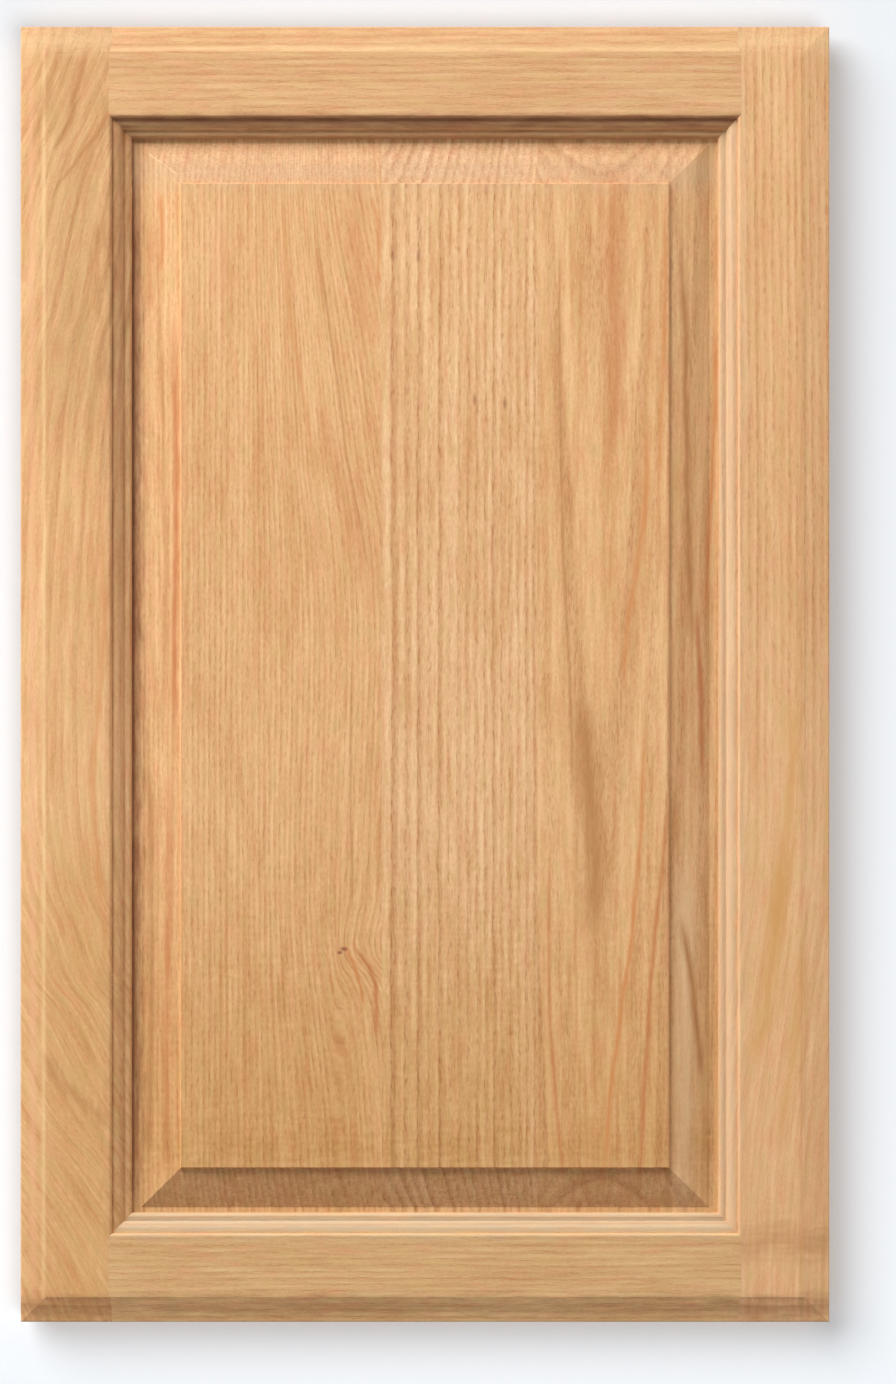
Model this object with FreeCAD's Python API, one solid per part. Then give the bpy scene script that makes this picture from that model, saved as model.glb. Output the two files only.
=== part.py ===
# Kitchen cabinet door with a raised panel, in solid red oak.
#
# Two stiles run the full height of the door, and two rails fit between them. A moulding, called the
# sticking, runs along the inner edge of all four, with a groove behind it. Each rail end is coped to
# the reverse of the sticking, so that it seats over the stile's moulding, and its stub tenon fills
# the stile's groove. The outer edge is shaped after the frame is glued, so its moulding runs across
# the ends of the stiles too. The panel is glued up from three boards, and it floats in the groove:
# rubber spacers at the stiles keep it centred while it swells and shrinks.
#
# Sizes are in millimetres. X runs to the right as seen from the front, Y from the front to the back,
# and Z up. The back of the frame is at Y = 0 and the front face at Y = -stock_thickness. The origin
# is on the back of the left stile, in the middle of its width and height.

import FreeCAD
import Part
import math
import os

# Frame stock
door_width = 406.4
door_height = 650.9
stock_thickness = 19.05
stile_width = 55.6
top_rail_width = 55.6
bottom_rail_width = 54.3

# Groove for the panel and for the rails' tenons
groove_width = 6.35
groove_depth = 9.5
tenon_end_gap = 0.4

# Sticking, from the face inwards: an eased arris, a step down to a ledge, a round, a fillet, a bead
# that ends it, and the short upright land between the bead and the groove
sticking_arris_radius = 1.6
sticking_step = 2.2
sticking_ledge = 0.8
sticking_round_radius = 5.0
sticking_round_drop = 3.8
sticking_fillet = 1.4
sticking_bead = 2.6
sticking_land = 0.5

# Outer edge, from the face outwards: a shallow cove and a shelf that slopes down to the rounded
# outer corner
edge_cove_run = 4.2
edge_cove_drop = 0.65
edge_cove_radius = 20.0
edge_shelf_width = 8.5
edge_shelf_drop = 1.4
outer_corner_radius = 0.8

# Raised panel: a flat tongue, a long slope that eases off towards the middle, and a low step up to
# the field
tongue_play = 0.15
raise_width = 31.75
raise_flat = 10.8
raise_slope_radius = 120.0
raise_step = 1.8
raise_step_run = 0.8
field_below_face = 1.4
panel_side_gap = 3.0
panel_end_gap = 1.2
left_board_width = 132.4
middle_board_width = 78.3

# Rubber spacers between the panel's long edges and the bottoms of the stiles' grooves
spacer_length = 9.5
spacers_per_stile = 3

# Extra length of the cutters past the wood
overcut = 5.0


def round_run(radius, drop):
    """Width of a round that starts level and comes down by drop."""
    return math.sqrt(2 * radius * drop - drop * drop)


# Sizes that follow from the ones above
sticking_round_run = round_run(sticking_round_radius, sticking_round_drop)
sticking_steps_width = sticking_arris_radius + sticking_ledge + sticking_fillet + sticking_bead
sticking_width = sticking_steps_width + sticking_round_run
front_lip = sticking_step + sticking_round_drop + sticking_bead + sticking_land
back_lip = stock_thickness - front_lip - groove_width
tenon_length = groove_depth - tenon_end_gap

edge_width = edge_cove_run + edge_shelf_width

x_left = -stile_width / 2
x_right = x_left + door_width
z_bottom = -door_height / 2
z_top = door_height / 2

panel_back = back_lip + tongue_play
tongue_front = back_lip + groove_width - tongue_play
field_front = stock_thickness - field_below_face
panel_left = x_left + stile_width - groove_depth + panel_side_gap
panel_right = x_right - stile_width + groove_depth - panel_side_gap
panel_bottom = z_bottom + bottom_rail_width - groove_depth + panel_end_gap
panel_top = z_top - top_rail_width + groove_depth - panel_end_gap


class Run:
    """One straight side of the door or the panel, along which an outline is drawn out.

    An outline's points are (inward, height): the distance in from that side's edge, and the height
    above the plane of the frame's back.
    """

    def __init__(self, corner, inward, along, length):
        self.corner = FreeCAD.Vector(*corner)
        self.inward = FreeCAD.Vector(*inward)
        self.along = FreeCAD.Vector(*along)
        self.length = length

    def point(self, inward, height):
        return self.corner + self.inward * inward - FreeCAD.Vector(0, height, 0)

    def prism(self, outline, before=0.0, after=0.0):
        """Draws the outline out along the side, from before its start to after its end."""
        face = Part.Face(outline_wire(outline, self.point))
        face.translate(self.along * -before)
        return face.extrude(self.along * (self.length + before + after))


def sides(left, right, bottom, top):
    """The four sides of an upright rectangle, seen from the front."""
    width = right - left
    height = top - bottom
    return {
        "left": Run((left, 0, bottom), (1, 0, 0), (0, 0, 1), height),
        "right": Run((right, 0, bottom), (-1, 0, 0), (0, 0, 1), height),
        "bottom": Run((left, 0, bottom), (0, 0, 1), (1, 0, 0), width),
        "top": Run((left, 0, top), (0, 0, -1), (1, 0, 0), width),
    }


def outline_wire(outline, place):
    """A closed wire. Each entry is a corner (inward, height), or an arc (corner, radius) to a corner.

    The radius is positive for an arc that turns to the left on its way and negative for one that
    turns to the right, as the outline is drawn with inward to the right and height upwards.
    """
    edges = []
    last = outline[-1]
    start = last[0] if isinstance(last[0], tuple) else last
    for entry in outline:
        curved = isinstance(entry[0], tuple)
        end = entry[0] if curved else entry
        if curved:
            middle = arc_middle(start, end, entry[1])
            arc = Part.Arc(place(*start), place(*middle), place(*end))
            edges.append(arc.toShape())
        else:
            edges.append(Part.makeLine(place(*start), place(*end)))
        start = end
    return Part.Wire(edges)


def arc_middle(start, end, radius):
    """The point halfway along the shorter arc of that radius from start to end."""
    chord_x = end[0] - start[0]
    chord_y = end[1] - start[1]
    chord = math.hypot(chord_x, chord_y)
    rise = abs(radius) - math.sqrt(radius * radius - chord * chord / 4)
    side = math.copysign(1.0, radius)
    return (
        (start[0] + end[0]) / 2 + side * rise * chord_y / chord,
        (start[1] + end[1]) / 2 - side * rise * chord_x / chord,
    )


def member_outline(width, slot_depth):
    """Section of a stile or rail with a square outer edge, the sticking and the groove."""
    groove_back = back_lip
    groove_front = back_lip + groove_width
    groove_bottom = width - slot_depth
    bead_top = groove_front + sticking_land + sticking_bead
    fillet_outer = width - sticking_bead - sticking_fillet
    ledge_inner = fillet_outer - sticking_round_run
    ledge_height = bead_top + sticking_round_drop
    step_wall = ledge_inner - sticking_ledge
    face_edge = step_wall - sticking_arris_radius
    return [
        (0, 0),
        (width, 0),
        (width, groove_back),
        (groove_bottom, groove_back),
        (groove_bottom, groove_front),
        (width, groove_front),
        (width, groove_front + sticking_land),
        ((width - sticking_bead, bead_top), sticking_bead),
        (fillet_outer, bead_top),
        ((ledge_inner, ledge_height), sticking_round_radius),
        (step_wall, ledge_height),
        (step_wall, stock_thickness - sticking_arris_radius),
        ((face_edge, stock_thickness), sticking_arris_radius),
        (0, stock_thickness),
    ]


def edge_waste_outline():
    """What the shaper takes off the front of the outer edge."""
    shelf_inner_height = stock_thickness - edge_cove_drop
    shelf_slope = edge_shelf_drop / edge_shelf_width
    shelf_outer_height = shelf_inner_height - shelf_slope * (edge_shelf_width - outer_corner_radius)
    corner_foot = shelf_outer_height - outer_corner_radius
    return [
        (-overcut, corner_foot),
        (0, corner_foot),
        ((outer_corner_radius, shelf_outer_height), -outer_corner_radius),
        (edge_shelf_width, shelf_inner_height),
        ((edge_width, stock_thickness), edge_cove_radius),
        (edge_width, stock_thickness + overcut),
        (-overcut, stock_thickness + overcut),
    ]


def back_corner_outline():
    """What sanding takes off the outer edge at the back."""
    return [
        (-overcut, outer_corner_radius),
        (-overcut, -overcut),
        (outer_corner_radius, -overcut),
        (outer_corner_radius, 0),
        ((0, outer_corner_radius), -outer_corner_radius),
    ]


def raise_waste_outline():
    """What the cutter takes off the panel's front: the tongue's flat, the slope and the step."""
    step_foot = raise_width - raise_step_run
    return [
        (-overcut, tongue_front),
        (raise_flat, tongue_front),
        ((step_foot, field_front - raise_step), -raise_slope_radius),
        (raise_width, field_front),
        (raise_width, field_front + overcut),
        (-overcut, field_front + overcut),
    ]


def shape_outer_edge(member, door):
    """Runs the outer moulding and the rounded back corner round all four sides of the door."""
    for side in door.values():
        for outline in (edge_waste_outline(), back_corner_outline()):
            member = member.cut(side.prism(outline, overcut, overcut))
    return member


def make_stile(door, side):
    stile = door[side].prism(member_outline(stile_width, groove_depth))
    return shape_outer_edge(stile, door)


def make_rail(door, side, width):
    """A rail from one stile's face edge to the other's, with both ends coped to the sticking."""
    face_edge = stile_width - sticking_width
    rail = door[side].prism(member_outline(width, groove_depth), -face_edge, -face_edge)
    for stile_side in ("left", "right"):
        cope = door[stile_side].prism(member_outline(stile_width, tenon_length), overcut, overcut)
        rail = rail.cut(cope)
    return shape_outer_edge(rail, door)


def make_panel():
    """The whole panel, raised on its front and flat on its back."""
    panel = Part.makeBox(
        panel_right - panel_left,
        field_front - panel_back,
        panel_top - panel_bottom,
        FreeCAD.Vector(panel_left, -field_front, panel_bottom),
    )
    for side in sides(panel_left, panel_right, panel_bottom, panel_top).values():
        panel = panel.cut(side.prism(raise_waste_outline(), overcut, overcut))
    return panel


def make_boards():
    """The panel's three boards, edge to edge at the glue lines."""
    first_glue_line = panel_left + left_board_width
    second_glue_line = first_glue_line + middle_board_width
    spans = {
        "panel_board_left": (panel_left, first_glue_line),
        "panel_board_middle": (first_glue_line, second_glue_line),
        "panel_board_right": (second_glue_line, panel_right),
    }
    panel = make_panel()
    boards = {}
    for name, (start, end) in spans.items():
        span = Part.makeBox(
            end - start,
            stock_thickness,
            panel_top - panel_bottom,
            FreeCAD.Vector(start, -stock_thickness, panel_bottom),
        )
        boards[name] = panel.common(span)
    return boards


def make_spacer(groove_bottom_x, panel_edge_x, z):
    """A rubber spacer, squeezed flat between the groove's bottom and the panel, with round ends."""
    thickness = abs(panel_edge_x - groove_bottom_x)
    end_radius = thickness / 2
    straight = spacer_length - thickness
    x = min(groove_bottom_x, panel_edge_x)
    y = -tongue_front
    low = z - straight / 2
    high = z + straight / 2
    corners = [
        FreeCAD.Vector(x, y, low),
        FreeCAD.Vector(x + thickness, y, low),
        FreeCAD.Vector(x + thickness, y, high),
        FreeCAD.Vector(x, y, high),
    ]
    below = FreeCAD.Vector(x + end_radius, y, low - end_radius)
    above = FreeCAD.Vector(x + end_radius, y, high + end_radius)
    outline = Part.Wire(
        [
            Part.Arc(corners[0], below, corners[1]).toShape(),
            Part.makeLine(corners[1], corners[2]),
            Part.Arc(corners[2], above, corners[3]).toShape(),
            Part.makeLine(corners[3], corners[0]),
        ]
    )
    return Part.Face(outline).extrude(FreeCAD.Vector(0, tongue_front - panel_back, 0))


def make_spacers():
    """Evenly spaced up each stile's groove, beside the panel, and numbered from the bottom."""
    pitch = (panel_top - panel_bottom) / (spacers_per_stile + 1)
    left_groove_bottom = panel_left - panel_side_gap
    right_groove_bottom = panel_right + panel_side_gap
    spacers = {}
    for number in range(1, spacers_per_stile + 1):
        z = panel_bottom + pitch * number
        spacers[f"left_spacer_{number}"] = make_spacer(left_groove_bottom, panel_left, z)
        spacers[f"right_spacer_{number}"] = make_spacer(right_groove_bottom, panel_right, z)
    return spacers


def make_door():
    door = sides(x_left, x_right, z_bottom, z_top)
    pieces = {
        "left_stile": make_stile(door, "left"),
        "right_stile": make_stile(door, "right"),
        "top_rail": make_rail(door, "top", top_rail_width),
        "bottom_rail": make_rail(door, "bottom", bottom_rail_width),
    }
    pieces.update(make_boards())
    pieces.update(make_spacers())
    return pieces


def main():
    os.makedirs("parts", exist_ok=True)
    for name, shape in make_door().items():
        shape.exportStep(f"parts/{name}.step")
        print(name, "solids", len(shape.Solids), "valid", shape.isValid(), "mm3", round(shape.Volume))


main()
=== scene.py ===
# Kitchen cabinet door with a raised panel, in solid red oak, hung in front of a pale backdrop.
#
# The door stands upright: X runs to the right, Y from the front to the back, and Z up, in metres.

import math

import bpy
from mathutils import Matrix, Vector


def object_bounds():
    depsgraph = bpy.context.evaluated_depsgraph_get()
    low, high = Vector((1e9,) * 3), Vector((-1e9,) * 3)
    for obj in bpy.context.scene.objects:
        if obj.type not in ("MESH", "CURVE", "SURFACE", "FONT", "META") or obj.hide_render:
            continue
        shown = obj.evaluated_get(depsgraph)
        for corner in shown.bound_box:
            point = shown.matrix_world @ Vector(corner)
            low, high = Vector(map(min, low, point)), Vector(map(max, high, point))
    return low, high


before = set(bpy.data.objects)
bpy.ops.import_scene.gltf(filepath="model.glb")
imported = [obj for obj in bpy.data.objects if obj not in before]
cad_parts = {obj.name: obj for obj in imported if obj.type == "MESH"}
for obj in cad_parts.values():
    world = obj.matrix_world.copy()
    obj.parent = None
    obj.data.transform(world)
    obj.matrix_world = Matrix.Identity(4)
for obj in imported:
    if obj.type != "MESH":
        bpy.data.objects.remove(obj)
cad_low, cad_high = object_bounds()
scene = bpy.context.scene
scene.view_settings.view_transform = "Standard"


# Camera
# The door is seen square on, from far off through a long lens. Its edges lie where they do in the
# picture, a little left of the middle and a little above it.
picture_width_px = 896
picture_height_px = 1384
door_left_px = 20.3
door_right_px = 829.6
door_top_px = 26.2
camera_distance = 2.5
sensor_size = 36.0

door_width = cad_high.x - cad_low.x
metres_per_px = door_width / (door_right_px - door_left_px)
view_x = cad_low.x + (picture_width_px / 2 - door_left_px) * metres_per_px
view_z = cad_high.z - (picture_height_px / 2 - door_top_px) * metres_per_px

camera_data = bpy.data.cameras.new("camera")
camera_data.sensor_width = sensor_size
camera_data.lens = sensor_size * camera_distance / (picture_height_px * metres_per_px)
camera = bpy.data.objects.new("camera", camera_data)
camera.location = (view_x, cad_low.y - camera_distance, view_z)
camera.rotation_euler = (math.radians(90), 0, 0)
scene.collection.objects.link(camera)
scene.camera = camera


# Backdrop and floor
# A sheet of white card hangs close behind the door and takes its soft shadow, and a white floor
# lies below. The card shows only to a camera in front of it, so that it hides nothing from behind.
backdrop_gap = 0.008
floor_drop = 0.12
stage_reach = 3.0
white_card = (0.86, 0.895, 0.93, 1)


def flat_quad(name, corners, material):
    """A flat stage piece with four corners."""
    mesh = bpy.data.meshes.new(name)
    mesh.from_pydata(corners, [], [(0, 1, 2, 3)])
    mesh.materials.append(material)
    piece = bpy.data.objects.new(name, mesh)
    scene.collection.objects.link(piece)
    return piece


def new_material(name):
    """A material with its shader tree emptied, and that tree."""
    material = bpy.data.materials.new(name)
    material.use_nodes = True
    material.node_tree.nodes.clear()
    return material, material.node_tree


def join(tree, value, socket):
    """Links an output to a socket, or sets the socket to a plain value."""
    if isinstance(value, bpy.types.NodeSocket):
        tree.links.new(value, socket)
    else:
        socket.default_value = value


def calc(tree, operation, *values):
    """The result of a Math node."""
    node = tree.nodes.new("ShaderNodeMath")
    node.operation = operation
    for value, socket in zip(values, node.inputs):
        join(tree, value, socket)
    return node.outputs[0]


def finish_surface(tree, shader):
    """Makes a shader the material's surface."""
    output = tree.nodes.new("ShaderNodeOutputMaterial")
    tree.links.new(shader, output.inputs["Surface"])


floor_material, tree = new_material("white_floor")
floor_shader = tree.nodes.new("ShaderNodeBsdfDiffuse")
floor_shader.inputs["Color"].default_value = white_card
finish_surface(tree, floor_shader.outputs[0])

backdrop_material, tree = new_material("white_backdrop")
card = tree.nodes.new("ShaderNodeBsdfDiffuse")
card.inputs["Color"].default_value = white_card
clear = tree.nodes.new("ShaderNodeBsdfTransparent")
rays = tree.nodes.new("ShaderNodeLightPath")
facing = tree.nodes.new("ShaderNodeNewGeometry")
from_front = calc(tree, "SUBTRACT", 1.0, facing.outputs["Backfacing"])
shown = calc(tree, "MULTIPLY", rays.outputs["Is Camera Ray"], from_front)
blend = tree.nodes.new("ShaderNodeMixShader")
join(tree, shown, blend.inputs[0])
join(tree, clear.outputs[0], blend.inputs[1])
join(tree, card.outputs[0], blend.inputs[2])
finish_surface(tree, blend.outputs[0])

floor_z = cad_low.z - floor_drop
backdrop_y = cad_high.y + backdrop_gap
backdrop = flat_quad(
    "backdrop",
    [
        (view_x - stage_reach, backdrop_y, floor_z),
        (view_x + stage_reach, backdrop_y, floor_z),
        (view_x + stage_reach, backdrop_y, floor_z + stage_reach),
        (view_x - stage_reach, backdrop_y, floor_z + stage_reach),
    ],
    backdrop_material,
)
floor = flat_quad(
    "floor",
    [
        (view_x - stage_reach, -stage_reach, floor_z),
        (view_x + stage_reach, -stage_reach, floor_z),
        (view_x + stage_reach, stage_reach, floor_z),
        (view_x - stage_reach, stage_reach, floor_z),
    ],
    floor_material,
)


# Light
# Wide soft boxes stand above and at the left of the door, nearly in its plane, so that they graze
# its mouldings, and weak ones beside the camera and below it. Two more lamps light only the card
# and the floor, and set the broad and the narrow shadow there. A last one lights the door's back.
lamp_distance = 3.4
face_level = 0.95
soft_boxes = {
    # name: (degrees of tilt from the line of sight, degrees of turn from straight up to the left,
    # width, share of the light on the face, colour)
    "key": (63, 28, 1.5, 0.62, (0.98, 1.01, 1.0)),
    "left": (74, 85, 1.3, 0.10, (0.98, 1.01, 1.0)),
    "upper_right": (74, -60, 1.5, 0.13, (0.98, 1.01, 1.0)),
    "fill": (0, 0, 1.4, 0.06, (1.0, 0.92, 0.74)),
    "from_below": (74, 170, 1.3, 0.008, (1.0, 0.80, 0.55)),
}
room_light = 0.01
background_white = 0.96
card_light_direction = Vector((-0.7, -1.0, 0.7))
card_light_strength = 2.46
card_light_spread = math.radians(50)
card_fill_direction = Vector((0.22, -1, -0.27))
card_fill_strength = 1.07
card_fill_spread = math.radians(30)
back_light_direction = Vector((0, 1, 0.15))
back_light_strength = 1.6
back_light_spread = math.radians(20)


def add_lamp(name, kind, direction, lit):
    """A lamp whose light comes from one direction and falls only on the objects lit.

    Only the door's pieces block that light.
    """
    lamp = bpy.data.objects.new(name, bpy.data.lights.new(name, kind))
    scene.collection.objects.link(lamp)
    lamp.rotation_mode = "QUATERNION"
    lamp.rotation_quaternion = direction.to_track_quat("Z", "Y")
    receivers = bpy.data.collections.new(name + "_lights")
    for piece in lit:
        receivers.objects.link(piece)
    lamp.light_linking.receiver_collection = receivers
    lamp.light_linking.blocker_collection = blockers
    return lamp


door_pieces = list(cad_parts.values())
door_middle = (cad_low + cad_high) / 2
blockers = bpy.data.collections.new("blockers")
for piece in door_pieces:
    blockers.objects.link(piece)

for name, (tilt, turn, size, share, colour) in soft_boxes.items():
    tilt, turn = math.radians(tilt), math.radians(turn)
    direction = Vector((
        -math.sin(turn) * math.sin(tilt),
        -math.cos(tilt),
        math.cos(turn) * math.sin(tilt),
    ))
    box = add_lamp(name, "AREA", direction, door_pieces)
    box.location = door_middle + direction * lamp_distance
    box.data.shape = "DISK"
    box.data.size = size
    box.data.color = colour
    box.data.energy = share * face_level * (math.pi * lamp_distance) ** 2 / math.cos(tilt)

card_light = add_lamp("card_light", "SUN", card_light_direction, [backdrop, floor])
card_light.data.angle = card_light_spread
card_light.data.energy = card_light_strength

card_fill = add_lamp("card_fill", "SUN", card_fill_direction, [backdrop, floor])
card_fill.data.angle = card_fill_spread
card_fill.data.energy = card_fill_strength

back_light = add_lamp("back_light", "SUN", back_light_direction, door_pieces)
back_light.data.angle = back_light_spread
back_light.data.energy = back_light_strength

world = bpy.data.worlds.new("room")
world.use_nodes = True
tree = world.node_tree
tree.nodes.clear()
walls = tree.nodes.new("ShaderNodeBackground")
walls.inputs["Strength"].default_value = room_light
seen = tree.nodes.new("ShaderNodeBackground")
seen.inputs["Strength"].default_value = background_white
rays = tree.nodes.new("ShaderNodeLightPath")
either = tree.nodes.new("ShaderNodeMixShader")
join(tree, rays.outputs["Is Camera Ray"], either.inputs[0])
join(tree, walls.outputs[0], either.inputs[1])
join(tree, seen.outputs[0], either.inputs[2])
world_output = tree.nodes.new("ShaderNodeOutputWorld")
tree.links.new(either.outputs[0], world_output.inputs["Surface"])
scene.world = world


# Left stile
# The door's upright side member, sawn from red oak, sanded and left pale. The growth rings are
# shells round the pith of the tree, so that the grain runs on from the face over the mouldings to
# the ends.
mm_per_metre = 1000.0
sanded_roughness = 0.62
wood_ior = 1.45
pore_depth = 0.0002
pore_bump = 0.35


def vector_calc(tree, operation, *values):
    """The result of a Vector Math node."""
    node = tree.nodes.new("ShaderNodeVectorMath")
    node.operation = operation
    for value, socket in zip(values, node.inputs):
        join(tree, value, socket)
    return node.outputs["Value" if operation == "LENGTH" else "Vector"]


def scale_vector(tree, vector, factor):
    """The vector times a factor."""
    scaled = vector_calc(tree, "SCALE", vector)
    join(tree, factor, scaled.node.inputs["Scale"])
    return scaled


def split(tree, vector):
    """The three parts of a vector."""
    node = tree.nodes.new("ShaderNodeSeparateXYZ")
    join(tree, vector, node.inputs[0])
    return node.outputs[0], node.outputs[1], node.outputs[2]


def combine(tree, x, y, z):
    """A vector of three parts."""
    node = tree.nodes.new("ShaderNodeCombineXYZ")
    for value, socket in zip((x, y, z), node.inputs):
        join(tree, value, socket)
    return node.outputs[0]


def noise(tree, point, sizes, detail=1.0, roughness=0.5):
    """A noise whose patches have these sizes in millimetres across, into and along the board."""
    scaled = vector_calc(tree, "DIVIDE", point, sizes)
    node = tree.nodes.new("ShaderNodeTexNoise")
    join(tree, scaled, node.inputs["Vector"])
    node.inputs["Scale"].default_value = 1.0
    node.inputs["Detail"].default_value = detail
    node.inputs["Roughness"].default_value = roughness
    return node


def ramp(tree, value, stops):
    """A smooth curve from 0 to 1 through (place, height) stops."""
    node = tree.nodes.new("ShaderNodeValToRGB")
    join(tree, value, node.inputs[0])
    elements = node.color_ramp.elements
    while len(elements) < len(stops):
        elements.new(0.5)
    for element, (place, height) in zip(elements, stops):
        element.position = place
        element.color = (height, height, height, 1)
    return node.outputs["Color"]


def mix_colour(tree, share, first, second, blend_type="MIX"):
    """The first colour, mixed with a share of the second, or multiplied by it."""
    node = tree.nodes.new("ShaderNodeMix")
    node.data_type = "RGBA"
    node.blend_type = blend_type
    join(tree, share, node.inputs[0])
    join(tree, first, node.inputs[6])
    join(tree, second, node.inputs[7])
    return node.outputs[2]


def spread(tree, value, low, high, to_low=0.0, to_high=1.0):
    """Maps low..high to to_low..to_high, smoothly and no further."""
    node = tree.nodes.new("ShaderNodeMapRange")
    node.interpolation_type = "SMOOTHSTEP"
    for given, socket in zip((value, low, high, to_low, to_high), node.inputs):
        join(tree, given, socket)
    return node.outputs[0]


def srgb(red, green, blue):
    """A colour as it is read off a screen, for a shader."""
    def linear(level):
        share = level / 255
        return share / 12.92 if share <= 0.04045 else ((share + 0.055) / 1.055) ** 2.4
    return (linear(red), linear(green), linear(blue), 1)


def make_red_oak():
    """The node group that all the boards share: the colour and height at a point in a log."""
    # Sizes of the patterns in millimetres across, into and along the board
    wander_size = (70, 70, 260)
    ripple_width = 7.0
    tick_size = (0.85, 0.85, 4.8)
    fibre_size = (1.9, 1.9, 28)
    fleck_size = (1.0, 1.0, 2.2)
    strand_size = (3.2, 3.2, 70)
    cloud_size = (16, 16, 110)
    blush_size = (4.5, 4.5, 15)
    # How porous the wood is in the course of a year, and in the poorest year
    pores_in_year = [(0.0, 0.35), (0.07, 1.0), (0.3, 0.7), (0.62, 0.12), (0.85, 0.0), (1.0, 0.35)]
    poorest_year = 0.3
    ticks_in_late_wood = 0.2
    # The levels of a noise between which a pattern grows, and its share at both
    tick_levels = (0.5, 0.68)
    pink_levels = (0.5, 0.72, 0.0, 0.3)
    straw_levels = (0.5, 0.28, 0.0, 0.5)
    # How far each pattern shifts the wood from its pale to its warm tone
    mean_warmth = 0.45
    fibre_warmth = 1.6
    fleck_warmth = 1.1
    cloud_warmth = 0.9
    figure_warmth = 2.2
    pink_blush = srgb(236, 158, 118)
    straw_blush = srgb(222, 182, 122)

    group = bpy.data.node_groups.new("red_oak", "ShaderNodeTree")
    sockets = (
        ("Point", "NodeSocketVector", (0, 0, 0)),
        ("Pith", "NodeSocketVector", (0, 60, 0)),
        ("Lean", "NodeSocketVector", (0, 0, 0)),
        ("Ring width", "NodeSocketFloat", 3.0),
        ("Wander", "NodeSocketFloat", 4.0),
        ("Ripple", "NodeSocketFloat", 0.4),
        ("Ripple length", "NodeSocketFloat", 14.0),
        ("Rings", "NodeSocketFloat", 0.4),
        ("Pores", "NodeSocketFloat", 0.4),
        ("Figure", "NodeSocketFloat", 0.5),
        ("Pale", "NodeSocketColor", srgb(243, 194, 141)),
        ("Warm", "NodeSocketColor", srgb(216, 156, 101)),
        ("Brown", "NodeSocketColor", srgb(178, 110, 58)),
    )
    for name, kind, default in sockets:
        socket = group.interface.new_socket(name, in_out="INPUT", socket_type=kind)
        socket.default_value = default
    group.interface.new_socket("Color", in_out="OUTPUT", socket_type="NodeSocketColor")
    group.interface.new_socket("Height", in_out="OUTPUT", socket_type="NodeSocketFloat")
    given = group.nodes.new("NodeGroupInput").outputs
    point = given["Point"]

    # Rings: shells round a pith that may lean, carried aside by a slow wander and a quick ripple
    wander = noise(group, point, wander_size, detail=2.0)
    stray = vector_calc(group, "SUBTRACT", wander.outputs["Color"], (0.5, 0.5, 0.5))
    stray = scale_vector(group, stray, given["Wander"])
    across, depth, along = split(group, point)
    ripple_point = combine(
        group,
        calc(group, "DIVIDE", across, ripple_width),
        calc(group, "DIVIDE", depth, ripple_width),
        calc(group, "DIVIDE", along, given["Ripple length"]),
    )
    ripple = noise(group, ripple_point, (1, 1, 1))
    ripple = calc(group, "SUBTRACT", ripple.outputs[0], 0.5)
    ripple = calc(group, "MULTIPLY", ripple, given["Ripple"])
    lean_x, lean_y, _ = split(group, given["Lean"])
    pith_x, pith_y, _ = split(group, given["Pith"])
    stray_x, stray_y, _ = split(group, stray)
    from_x = calc(group, "SUBTRACT", across, calc(group, "MULTIPLY_ADD", lean_x, along, pith_x))
    from_y = calc(group, "SUBTRACT", depth, calc(group, "MULTIPLY_ADD", lean_y, along, pith_y))
    from_x = calc(group, "ADD", calc(group, "ADD", from_x, stray_x), ripple)
    from_y = calc(group, "ADD", from_y, stray_y)
    radius = vector_calc(group, "LENGTH", combine(group, from_x, from_y, 0.0))
    rings = calc(group, "DIVIDE", radius, given["Ring width"])

    # Pores: most of them in each year's early wood, and more in some years than in others
    year = calc(group, "FLOOR", rings)
    season = calc(group, "FRACT", rings)
    early = ramp(group, season, pores_in_year)
    vigour = group.nodes.new("ShaderNodeTexWhiteNoise")
    vigour.noise_dimensions = "1D"
    join(group, year, vigour.inputs["W"])
    strong = calc(group, "MULTIPLY_ADD", vigour.outputs["Value"], 1 - poorest_year, poorest_year)
    porous = calc(group, "MULTIPLY", early, strong)
    ticks = noise(group, point, tick_size).outputs[0]
    ticks = spread(group, ticks, *tick_levels)
    where = calc(group, "MULTIPLY_ADD", early, 1 - ticks_in_late_wood, ticks_in_late_wood)
    ticks = calc(group, "MULTIPLY", ticks, where)

    # Tone: fibres, flecks, strands and clouds between pale and warm, with pink and straw blushes
    fibres = noise(group, point, fibre_size, detail=2.0, roughness=0.55).outputs[0]
    flecks = noise(group, point, fleck_size, detail=2.0, roughness=0.65).outputs[0]
    strands = noise(group, point, strand_size, detail=2.0).outputs[0]
    cloud = noise(group, point, cloud_size, detail=2.0).outputs[0]
    figure = calc(group, "MULTIPLY", calc(group, "SUBTRACT", strands, 0.5), given["Figure"])
    warmth = mean_warmth
    for pattern, share in ((fibres, fibre_warmth), (flecks, fleck_warmth), (cloud, cloud_warmth)):
        warmth = calc(group, "MULTIPLY_ADD", calc(group, "SUBTRACT", pattern, 0.5), share, warmth)
    warmth = calc(group, "MULTIPLY_ADD", figure, figure_warmth, warmth)
    colour = mix_colour(group, warmth, given["Pale"], given["Warm"])
    blush = noise(group, point, blush_size, detail=2.0).outputs[0]
    colour = mix_colour(group, spread(group, blush, *pink_levels), colour, pink_blush)
    colour = mix_colour(group, spread(group, blush, *straw_levels), colour, straw_blush)
    brown = calc(group, "MULTIPLY", porous, given["Rings"])
    brown = calc(group, "MULTIPLY_ADD", ticks, given["Pores"], brown)
    brown = calc(group, "MINIMUM", brown, 1.0)
    colour = mix_colour(group, brown, colour, given["Brown"])

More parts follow.
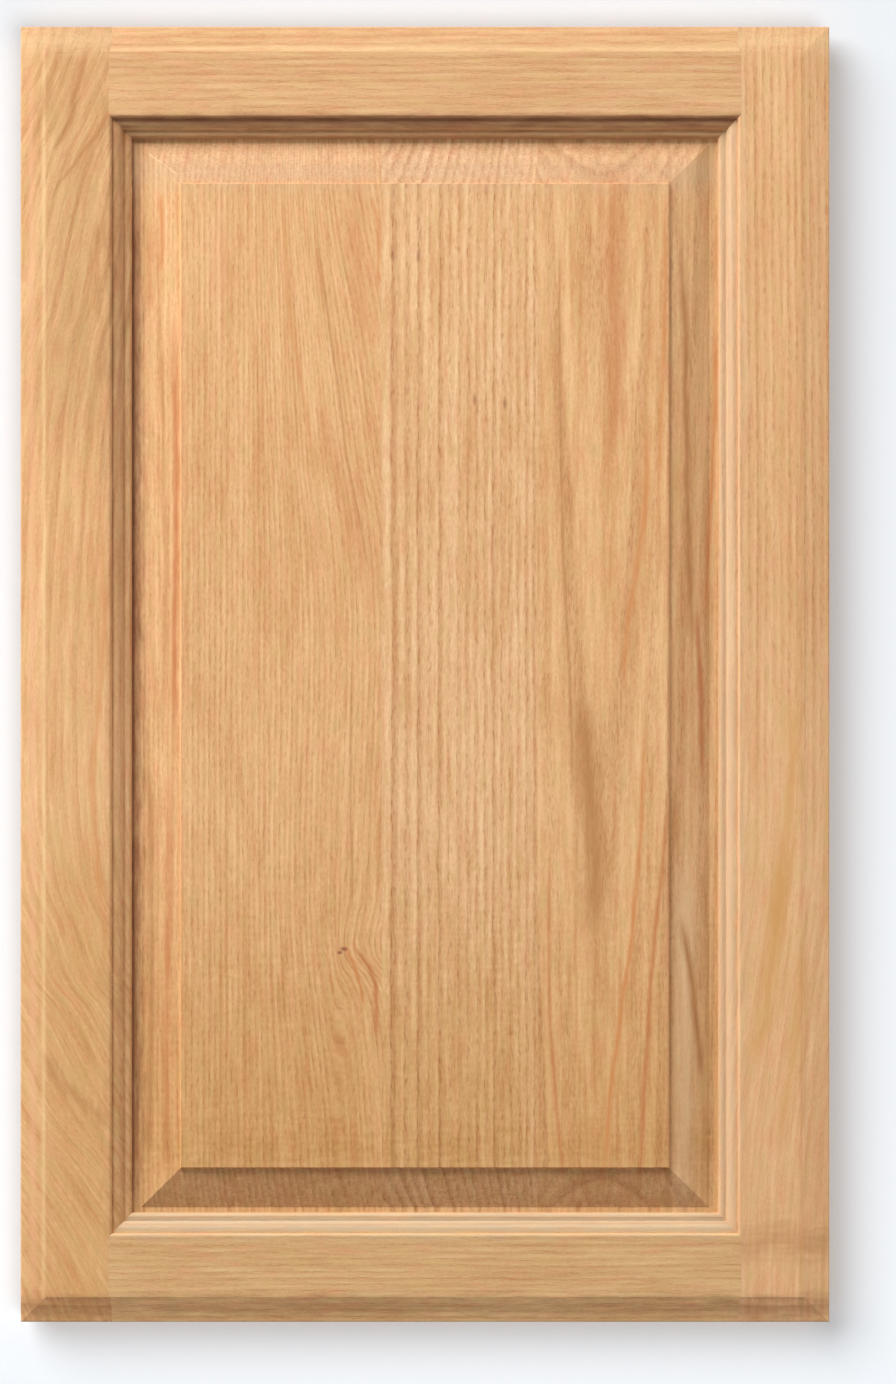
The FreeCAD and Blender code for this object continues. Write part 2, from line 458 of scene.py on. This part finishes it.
    outputs = group.nodes.new("NodeGroupOutput").inputs
    join(group, colour, outputs["Color"])
    join(group, calc(group, "MULTIPLY", ticks, -1.0), outputs["Height"])
    return group


red_oak = make_red_oak()


def door_millimetres(tree):
    """The place on the door in millimetres: to the right, to the back and up."""
    coordinates = tree.nodes.new("ShaderNodeTexCoord")
    return scale_vector(tree, coordinates.outputs["Object"], mm_per_metre)


def path(tree, along, stops):
    """How far across a smooth line through (along, across) stops lies, at each place along."""
    ends = [stop[0] for stop in stops]
    sides = [stop[1] for stop in stops]
    start, length = min(ends), max(ends) - min(ends)
    side, swing = min(sides), max(sides) - min(sides)
    share = calc(tree, "DIVIDE", calc(tree, "SUBTRACT", along, start), length)
    node = tree.nodes.new("ShaderNodeValToRGB")
    join(tree, share, node.inputs[0])
    node.color_ramp.interpolation = "CARDINAL"
    elements = node.color_ramp.elements
    while len(elements) < len(stops):
        elements.new(0.5)
    for element, (place, across) in zip(elements, sorted(stops)):
        level = (across - side) / swing
        element.position = (place - start) / length
        element.color = (level, level, level, 1)
    return calc(tree, "MULTIPLY_ADD", node.outputs["Color"], swing, side)


class OakBoard:
    """Sanded red oak on one board, cut from its own place in a log and with its own marks.

    Marks are placed in millimetres across the board and along its grain, as on the door's front.
    """

    # Marks begin at the first of these depths and are whole at the second. Their edges are ragged
    # and their ends are tapered.
    mark_depths = (-5.0, -9.0)
    mark_levels = (1.3, 0.3)
    knot_levels = (1.4, 0.3)
    ragged_size = (2.5, 2.5, 14)
    raggedness = 0.9
    taper_share = 0.2
    # The end grain shows where the surface slants to the fibres, with open pores.
    end_grain_slant = 0.3
    end_pore_size = (1.6, 1.0, 0.8)
    end_pore_levels = (0.48, 0.66, 0.0, 0.26)
    knot_brown = srgb(138, 70, 44)
    end_grain_tint = (0.87, 0.84, 0.85, 1)
    end_grain_brown = srgb(160, 96, 54)

    def __init__(self, name, start, look, upright=True):
        self.material, self.tree = new_material(name)
        self.upright = upright
        tree = self.tree
        x, y, z = split(tree, door_millimetres(tree))
        self.across, self.depth, self.along = (x, y, z) if upright else (z, y, x)
        self.grain_across = calc(tree, "SUBTRACT", self.across, start)
        self.wood = tree.nodes.new("ShaderNodeGroup")
        self.wood.node_tree = red_oak
        for socket, value in look.items():
            join(tree, value, self.wood.inputs[socket])
        self.colour = self.wood.outputs["Color"]

    def bend(self, stops, fade=None):
        """Carries the grain sideways by (along, shift) stops, and only on one side of a fade."""
        shift = path(self.tree, self.along, stops)
        if fade:
            shift = calc(self.tree, "MULTIPLY", shift, spread(self.tree, self.across, *fade))
        self.grain_across = calc(self.tree, "SUBTRACT", self.grain_across, shift)

    def band(self, stops, width, strength, crosswise):
        """The strength on a ragged line through the stops, and 0 at that width from it.

        The stops are (along, across), or (across, along) for a crosswise band.
        """
        tree = self.tree
        side, run = (self.along, self.across) if crosswise else (self.across, self.along)
        low, high = min(stops)[0], max(stops)[0]
        taper = self.taper_share * (high - low)
        spot = combine(tree, side, self.depth, run)
        ragged = noise(tree, spot, self.ragged_size, detail=3.0).outputs[0]
        offset = calc(tree, "SUBTRACT", side, path(tree, run, stops))
        offset = calc(tree, "ABSOLUTE", calc(tree, "DIVIDE", offset, width))
        offset = calc(tree, "MULTIPLY_ADD", ragged, self.raggedness, offset)
        body = spread(tree, offset, *self.mark_levels)
        begun = spread(tree, run, low, low + taper)
        ended = spread(tree, run, high, high - taper)
        share = calc(tree, "MULTIPLY", body, calc(tree, "MULTIPLY", begun, ended))
        front = spread(tree, self.depth, *self.mark_depths, 0.0, strength)
        return calc(tree, "MULTIPLY", share, front)

    def streak(self, stops, width, tint, strength, crosswise=False):
        """A mineral streak or another tint of the wood; some streaks are painted highlights and
        sheen.
        """
        share = self.band(stops, width, strength, crosswise)
        self.colour = mix_colour(self.tree, share, self.colour, tint)

    def shade(self, stops, width, tint, strength, crosswise=False):
        """A darker place, through which the grain shows as strongly as before; most are painted
        shade.
        """
        share = self.band(stops, width, strength, crosswise)
        self.colour = mix_colour(self.tree, share, self.colour, tint, "MULTIPLY")

    def ease(self, socket, low_place, high_place, low_value, high_value):
        """Changes one part of the look from the lower to the upper part of the board."""
        share = spread(self.tree, self.along, low_place, high_place, low_value, high_value)
        join(self.tree, share, self.wood.inputs[socket])

    def pin_knot(self, across, along, width, height, strength=0.75):
        """A small dark knot."""
        tree = self.tree
        aside = calc(tree, "DIVIDE", calc(tree, "SUBTRACT", self.across, across), width / 2)
        up = calc(tree, "DIVIDE", calc(tree, "SUBTRACT", self.along, along), height / 2)
        off = vector_calc(tree, "LENGTH", combine(tree, aside, up, 0.0))
        share = calc(tree, "MULTIPLY", spread(tree, off, *self.knot_levels), strength)
        share = calc(tree, "MULTIPLY", share, spread(tree, self.depth, *self.mark_depths))
        self.colour = mix_colour(tree, share, self.colour, self.knot_brown)

    def darken_end_grain(self):
        """Browns the surface where it cuts across the fibres, whose open ends look darker."""
        tree = self.tree
        normal = split(tree, tree.nodes.new("ShaderNodeNewGeometry").outputs["True Normal"])
        slant = calc(tree, "ABSOLUTE", normal[2] if self.upright else normal[0])
        cut = spread(tree, slant, 0.0, self.end_grain_slant)
        self.colour = mix_colour(tree, cut, self.colour, self.end_grain_tint, "MULTIPLY")
        spot = combine(tree, self.across, self.depth, self.along)
        open_pores = noise(tree, spot, self.end_pore_size, detail=2.0).outputs[0]
        open_pores = spread(tree, open_pores, *self.end_pore_levels)
        open_pores = calc(tree, "MULTIPLY", open_pores, cut)
        self.colour = mix_colour(tree, open_pores, self.colour, self.end_grain_brown)

    def dress(self, node_name):
        """Finishes the surface and puts it on a piece of the door."""
        tree = self.tree
        self.darken_end_grain()
        point = combine(tree, self.grain_across, self.depth, self.along)
        join(tree, point, self.wood.inputs["Point"])
        bump = tree.nodes.new("ShaderNodeBump")
        bump.inputs["Strength"].default_value = pore_bump
        bump.inputs["Distance"].default_value = pore_depth
        join(tree, self.wood.outputs["Height"], bump.inputs["Height"])
        shader = tree.nodes.new("ShaderNodeBsdfPrincipled")
        shader.inputs["Roughness"].default_value = sanded_roughness
        shader.inputs["IOR"].default_value = wood_ior
        join(tree, self.colour, shader.inputs["Base Color"])
        join(tree, bump.outputs[0], shader.inputs["Normal"])
        finish_surface(tree, shader.outputs[0])
        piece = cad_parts[node_name]
        piece.data.materials.clear()
        piece.data.materials.append(self.material)


# A painted highlight, for the mouldings at the top and left that face the lamps, and for the mitre
# at the panel's top left
painted_highlight = srgb(248, 212, 160)
pink_edge = srgb(240, 176, 136)
streak_brown = srgb(188, 128, 76)
streak_orange = srgb(216, 142, 84)
# Painted shade, for recesses, the top rail's inner moulding and the step beside the field
painted_recess_shade = (0.34, 0.20, 0.16, 1)
# Painted shade, darker and yellower towards the bottom, where the light falls off
painted_lower_shade = (0.85, 0.79, 0.625, 1)
brown_shade = (0.775, 0.745, 0.675, 1)
# Painted shade on the shelf along the bottom edge, and its strength
painted_shelf_shade = (0.45, 0.36, 0.32, 1)
shelf_strength = 0.66


def paint_light_on_ends(stile, left, right, highlight_strength):
    """Darkens the outer moulding at a stile's foot with painted shade, and lightens its head with a
    painted highlight.
    """
    stile.shade([(left, -317.4), (right, -317)], 11.0, painted_shelf_shade, shelf_strength, crosswise=True)
    stile.streak([(left, 318.4), (right, 318)], 12.0, painted_highlight, highlight_strength, crosswise=True)


left_stile = OakBoard(
    "left_stile_oak",
    0,
    {
        "Pith": (60, 40, 0), "Ring width": 5.5, "Wander": 8,
        "Rings": 0.26, "Pores": 0.12, "Figure": 0.5,
    },
)
left_stile.bend([
    (330, 65), (265, 37), (180, 16), (130, 6), (0, 0),
    (-80, 2), (-120, 12), (-165, 34), (-240, 79), (-330, 131),
])
left_stile.ease("Rings", -120, 20, 0.10, 0.27)
left_stile.ease("Pores", -120, 20, 0.07, 0.12)
# Broad tones, browner at the head and with painted shade towards the foot
left_stile.shade([(420, 4), (300, 0), (90, 2)], 60.0, brown_shade, 0.8)
left_stile.shade([(-60, 4), (-300, 2), (-420, 0)], 60.0, painted_lower_shade, 0.75)
# A painted highlight and a pink line along the outer moulding, and painted shade in the recess
# beside the panel
left_stile.streak([(400, -15.9), (-400, -16.2)], 2.2, painted_highlight, 0.4)
left_stile.streak([(400, -22.5), (-400, -21.5)], 3.4, pink_edge, 0.5)
left_stile.shade([(420, 22.4), (-420, 22.6)], 15.0, painted_recess_shade, 0.21)
left_stile.shade([(480, 22.5), (-20, 22.4)], 15.0, painted_recess_shade, 0.17)
# Streaks at the head, along the middle and across the foot
left_stile.streak([(325, -8), (300, -12), (262, -22)], 4.0, streak_brown, 0.6)
left_stile.streak([(325, 26), (280, 26), (230, 14), (180, 9)], 3.4, streak_brown, 0.45)
left_stile.streak(
    [(325, 10), (312, 5.7), (293, 0.2), (276, -3.8), (258, -13)], 3.2, streak_brown, 0.8
)
left_stile.streak([(288, 19), (268, 8.2), (252, -3.8), (238, -12)], 2.6, streak_brown, 0.7)
left_stile.streak([(100, 12), (20, 14), (-60, 9), (-150, 16)], 3.5, streak_orange, 0.5)
left_stile.streak([(-186, -16), (-204, -8), (-214, 3), (-232, 19)], 9.0, streak_brown, 0.5)
# Painted shade on the shelf at the foot, and a painted highlight on the moulding at the head
paint_light_on_ends(left_stile, -60, 60, 0.4)
left_stile.dress("left_stile")


# Right stile
# The same member mirrored, from another board whose rings stand nearly square to the face, so that
# its upper half has straight even lines. A browner band crosses it near the bottom.
streak_olive = srgb(216, 158, 92)
# A paler, greyer tint: painted sheen on the inner mouldings and the top slope that face the lamps
painted_sheen = srgb(199, 174, 145)

right_stile = OakBoard(
    "right_stile_oak",
    350,
    {
        "Pith": (-80, 30, 0), "Ring width": 3.4, "Wander": 5,
        "Rings": 0.34, "Pores": 0.15, "Figure": 0.5,
        "Pale": srgb(241, 193, 143), "Warm": srgb(222, 164, 112),
    },
)
right_stile.bend([(330, 0), (0, 3), (-120, 0), (-220, -14), (-330, -20)])
right_stile.ease("Rings", -90, 60, 0.12, 0.40)
right_stile.ease("Pores", -90, 60, 0.05, 0.3)
# Olive streaks in the lower half, and the brown band
right_stile.streak(
    [(-80, 355), (-118, 352), (-177, 346), (-192, 338), (-205, 334)], 9.0, streak_olive, 0.7
)
right_stile.streak([(0, 361), (-60, 359), (-110, 355), (-150, 350)], 7.0, streak_olive, 0.6)
right_stile.streak([(-130, 366), (-190, 361), (-240, 352)], 7.0, streak_olive, 0.5)
right_stile.streak(
    [(320, -284), (338, -287), (352, -283), (366, -286), (390, -283)],
    17.0, streak_brown, 0.5, crosswise=True,
)
# The line on the outer moulding, and painted sheen on the inner one
right_stile.streak([(420, 364.9), (-420, 364.6)], 2.4, streak_brown, 0.4)
right_stile.streak([(420, 327.5), (-420, 327.3)], 14.0, painted_sheen, 0.55)
# Painted shade on the shelf at the foot, and a painted highlight on the moulding at the head
paint_light_on_ends(right_stile, 290, 440, 0.35)
right_stile.dress("right_stile")


# Top and bottom rails
# Short crosswise members between the stiles, with the grain along X. Their ends are coped over the
# stiles' moulding and glued, and their boards are rift sawn, with fine straight lines.
top_rail = OakBoard(
    "top_rail_oak",
    297,
    {
        "Pith": (-60, 40, 0), "Ring width": 2.9, "Wander": 5, "Ripple": 0.8,
        "Rings": 0.32, "Pores": 0.13,
        "Pale": srgb(230, 184, 135), "Warm": srgb(209, 153, 104),
    },
    upright=False,
)
# A painted highlight on the outer moulding, and painted shade on the inner one
top_rail.streak([(-60, 314.4), (440, 314.2)], 2.4, painted_highlight, 0.35)
top_rail.shade([(-60, 278.2), (440, 278)], 6.5, painted_recess_shade, 0.8)
top_rail.shade([(-60, 269.6), (440, 269.4)], 6.5, painted_recess_shade, 0.4)
top_rail.dress("top_rail")

bottom_rail = OakBoard(
    "bottom_rail_oak",
    -297,
    {
        "Pith": (60, 40, 0), "Ring width": 2.4, "Wander": 4, "Ripple": 0.8,
        "Rings": 0.32, "Pores": 0.13,
        "Pale": srgb(231, 190, 137), "Warm": srgb(209, 158, 104),
    },
    upright=False,
)
# Painted sheen on the inner moulding, with lines of grain along it
bottom_rail.streak([(-60, -275.7), (440, -275.5)], 13.0, painted_sheen, 0.9)
bottom_rail.streak(
    [(-40, -273.6), (120, -272.9), (260, -273.5), (440, -273)], 1.1, streak_brown, 0.5
)
bottom_rail.streak(
    [(-60, -276.2), (90, -276.8), (300, -276.1), (420, -276.7)], 1.3, streak_brown, 0.45
)
# Painted shade on the shelf along the bottom edge
bottom_rail.shade([(-60, -317.4), (440, -317)], 11.0, painted_shelf_shade, shelf_strength)
bottom_rail.dress("bottom_rail")


# Panel boards
# Three boards, glued edge to edge and shaped together as one raised panel. The left board is rift
# sawn, with a small knot that draws its lines aside. The middle one has strong wavy lines of pores
# and a few pin knots, and the right one is flat sawn, with long arches that point down.
streak_red = srgb(200, 120, 70)
ash_grey = srgb(240, 205, 165)


def paint_light_on_panel(board, left, right, low_strength, lowest_strength):
    """Darkens a board's lower field with painted shade, and greys its top slope with painted sheen.
    """
    board.shade([(left, -205), (right, -206)], 170.0, painted_lower_shade, low_strength, crosswise=True)
    board.shade([(left, -238), (right, -238.4)], 26.0, painted_lower_shade, lowest_strength, crosswise=True)
    board.streak([(left, 253), (right, 252.5)], 20.0, painted_sheen, 0.3, crosswise=True)


left_board = OakBoard(
    "panel_left_oak",
    88,
    {
        "Pith": (-200, 60, 0), "Ring width": 2.6, "Wander": 4,
        "Rings": 0.3, "Pores": 0.3, "Figure": 0.4,
    },
)
left_board.bend(
    [(280, -34), (200, -22), (100, -7), (30, 0), (-120, -3), (-200, 6), (-280, 10)],
    fade=(80, 135),
)
left_board.bend(
    [(-90, 0), (-118, -2), (-134, -6), (-141, -6), (-152, 1), (-168, 5), (-220, 4)],
    fade=(128, 137),
)
# Streaks on the field
left_board.streak(
    [(245, 120), (200, 124), (150, 131), (100, 138), (37, 149)], 1.6, streak_brown, 0.7
)
left_board.streak([(245, 104), (170, 109), (90, 122)], 2.5, streak_orange, 0.5)
left_board.streak([(243, 148), (225, 152), (190, 152)], 2.0, streak_orange, 0.8)
left_board.streak([(262, 143), (210, 142), (160, 147)], 15.0, streak_red, 0.32)
left_board.streak([(240, 73), (210, 72), (180, 74)], 9.0, pink_edge, 0.4)
left_board.streak([(140, 122), (80, 138), (30, 147)], 11.0, streak_red, 0.28)
# Streaks on the slope at the left
left_board.streak([(185, 50.5), (140, 50), (95, 50.5), (20, 49.5), (-50, 50)], 3.6, streak_red, 0.9)
left_board.streak([(240, 40), (150, 43), (40, 45), (-60, 42)], 3.0, streak_brown, 0.5)
left_board.streak([(245, 42.5), (216, 43), (200, 42)], 2.4, streak_orange, 1.0)
left_board.streak([(230, 37.5), (205, 37), (180, 37)], 3.4, streak_red, 0.5)
left_board.streak([(-20, 36), (-120, 38), (-270, 36)], 4.0, streak_brown, 0.7)
left_board.streak([(-30, 48), (-140, 46), (-270, 45)], 4.5, streak_red, 0.6)
# The knot, and the streaks that lead to it and away from it
left_board.streak([(20, 139), (-60, 138), (-120, 139), (-136, 136)], 1.4, streak_brown, 0.6)
left_board.streak([(-134, 135), (-146, 139.5), (-155, 142.5), (-170, 145)], 2.0, streak_orange, 1.0)
left_board.streak(
    [(-132, 138), (-140, 142), (-147, 147), (-156, 150.3), (-166, 151), (-186, 151)],
    3.0, streak_red, 0.9,
)
left_board.pin_knot(134.8, -138, 4.0, 2.2)
left_board.pin_knot(132.6, -139.8, 3.0, 2.0)
# Painted shade in the recess beside the stile
left_board.shade([(330, 28.6), (-330, 28.4)], 8.5, painted_recess_shade, 0.85)
left_board.shade([(400, 28.5), (-20, 28.4)], 8.5, painted_recess_shade, 0.22)
# Painted shade and sheen that all three boards share, and a painted highlight on the mitre line
paint_light_on_panel(left_board, 10, 170, 0.78, 0.6)
left_board.streak([(250.4, 51.6), (264, 34.6)], 1.0, painted_highlight, 1.0)
left_board.dress("panel_board_left")

middle_board = OakBoard(
    "panel_middle_oak",
    193,
    {
        "Pith": (-60, 30, 0), "Ring width": 3.6, "Wander": 3, "Ripple": 1.9,
        "Rings": 0.5, "Pores": 0.36, "Figure": 0.3,
        "Pale": srgb(248, 203, 154), "Warm": srgb(219, 162, 108),
    },
)
for across, along in ((159.2, 210.4), (172.1, 210.0), (200.5, 138), (215.6, 136)):
    middle_board.pin_knot(across, along, 2.2, 6.5, 0.5)
# Painted shade on the lower field, and painted sheen on the slope at the top
paint_light_on_panel(middle_board, 130, 240, 0.94, 0.7)
middle_board.dress("panel_board_middle")

right_board = OakBoard(
    "panel_right_oak",
    263.4,
    {
        "Pith": (0, 50, 0), "Lean": (0, -0.0155, 0), "Ring width": 4.0, "Wander": 3,
        "Rings": 0.36, "Pores": 0.28, "Figure": 0.6,
    },
)
# Painted shade on the lower field, and painted sheen on the slope at the top
paint_light_on_panel(right_board, 200, 360, 0.65, 0.6)
# Painted shade in the step beside the slope, and a grey patch on the slope
right_board.shade([(330, 298.2), (-330, 298.0)], 2.4, painted_recess_shade, 0.35)
right_board.streak([(-80, 306), (-180, 306.5), (-290, 305)], 12.0, ash_grey, 0.45)
# Streaks on the field
right_board.streak(
    [(262, 269), (210, 270), (180, 271), (150, 271), (105, 270)], 10.0, streak_red, 0.55
)
right_board.streak(
    [(246, 243), (160, 243), (60, 245), (0, 248), (-80, 250)], 1.8, streak_brown, 0.7
)
right_board.streak([(246, 296), (190, 296), (130, 294), (60, 292)], 2.2, streak_orange, 0.8)
right_board.streak(
    [(-5, 254), (-35, 256), (-70, 259), (-100, 261), (-135, 260)], 11.0, streak_brown, 0.85
)
right_board.streak([(130, 287), (76, 285), (30, 278), (-15, 275)], 3.4, streak_orange, 0.8)
right_board.streak(
    [(-10, 287), (-38, 285.4), (-98, 282.4), (-148, 277), (-199, 270), (-243, 266), (-275, 263)],
    2.6, streak_orange, 1.0,
)
right_board.streak(
    [(-50, 298), (-113, 293), (-148, 289.5), (-184, 287), (-243, 284), (-275, 282)],
    2.4, streak_red, 0.8,
)
right_board.streak(
    [(-80, 239), (-105, 237.7), (-153, 237.7), (-194, 239.7), (-246, 244), (-275, 247)],
    2.2, streak_red, 0.7,
)
# Streaks on the slope at the right
right_board.streak(
    [(240, 303), (180, 306), (120, 307), (60, 308), (0, 310)], 4.2, streak_brown, 1.0
)
right_board.streak([(190, 322), (120, 321), (60, 318), (20, 317)], 2.6, streak_orange, 1.0)
right_board.streak([(40, 312), (0, 314), (-60, 315)], 3.0, streak_red, 0.8)
right_board.streak([(-118, 304), (-150, 309), (-175, 312), (-210, 315)], 3.6, streak_brown, 1.0)
right_board.dress("panel_board_right")


# Spacers
# Short pieces of black rubber cord, pressed into the stiles' grooves before the frame is glued.
# They keep the loose panel in the middle, and have a dull grey bloom.
rubber_black = srgb(28, 28, 30)
rubber_bloom = srgb(52, 50, 48)
rubber_roughness = 0.8
bloom_size = (1.5, 1.5, 1.5)

rubber_material, tree = new_material("spacer_rubber")
rubber = tree.nodes.new("ShaderNodeBsdfPrincipled")
rubber.inputs["Roughness"].default_value = rubber_roughness
bloom = noise(tree, door_millimetres(tree), bloom_size, detail=3.0).outputs[0]
rubber_colour = mix_colour(tree, bloom, rubber_black, rubber_bloom)
join(tree, rubber_colour, rubber.inputs["Base Color"])
finish_surface(tree, rubber.outputs[0])
for piece in door_pieces:
    if "spacer" in piece.name:
        piece.data.materials.clear()
        piece.data.materials.append(rubber_material)
